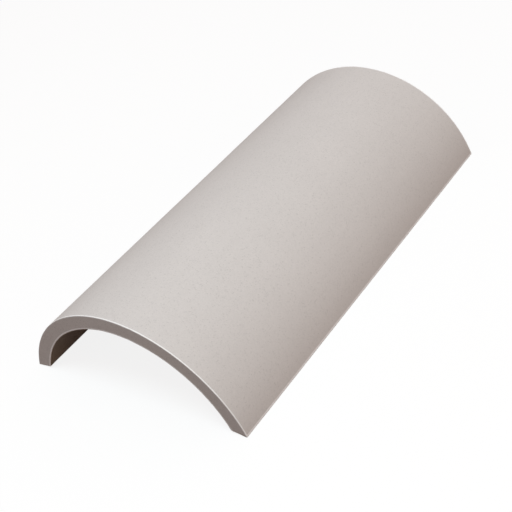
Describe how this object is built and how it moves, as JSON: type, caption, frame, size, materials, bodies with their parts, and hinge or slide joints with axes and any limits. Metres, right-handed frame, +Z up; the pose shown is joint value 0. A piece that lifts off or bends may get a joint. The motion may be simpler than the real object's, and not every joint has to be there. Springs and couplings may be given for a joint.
{
  "type": "half round ridge tile",
  "caption": "Half round ridge tile: a plain curved concrete shell with flat bearing faces and square butt ends, bedded along the top of a pitched roof to cap its ridge.",
  "frame": {"origin": "middle of the tile's length and width, on the level plane that its two toes rest on", "axes": "+Y along the ridge, +Z up through the crown, +X across the ridge"},
  "size_m": [0.2442, 0.45, 0.0925],
  "materials": {
    "concrete": "matte"
  },
  "bodies": {
    "root": {"ridge_tile": "concrete"}
  },
  "joints": []
}
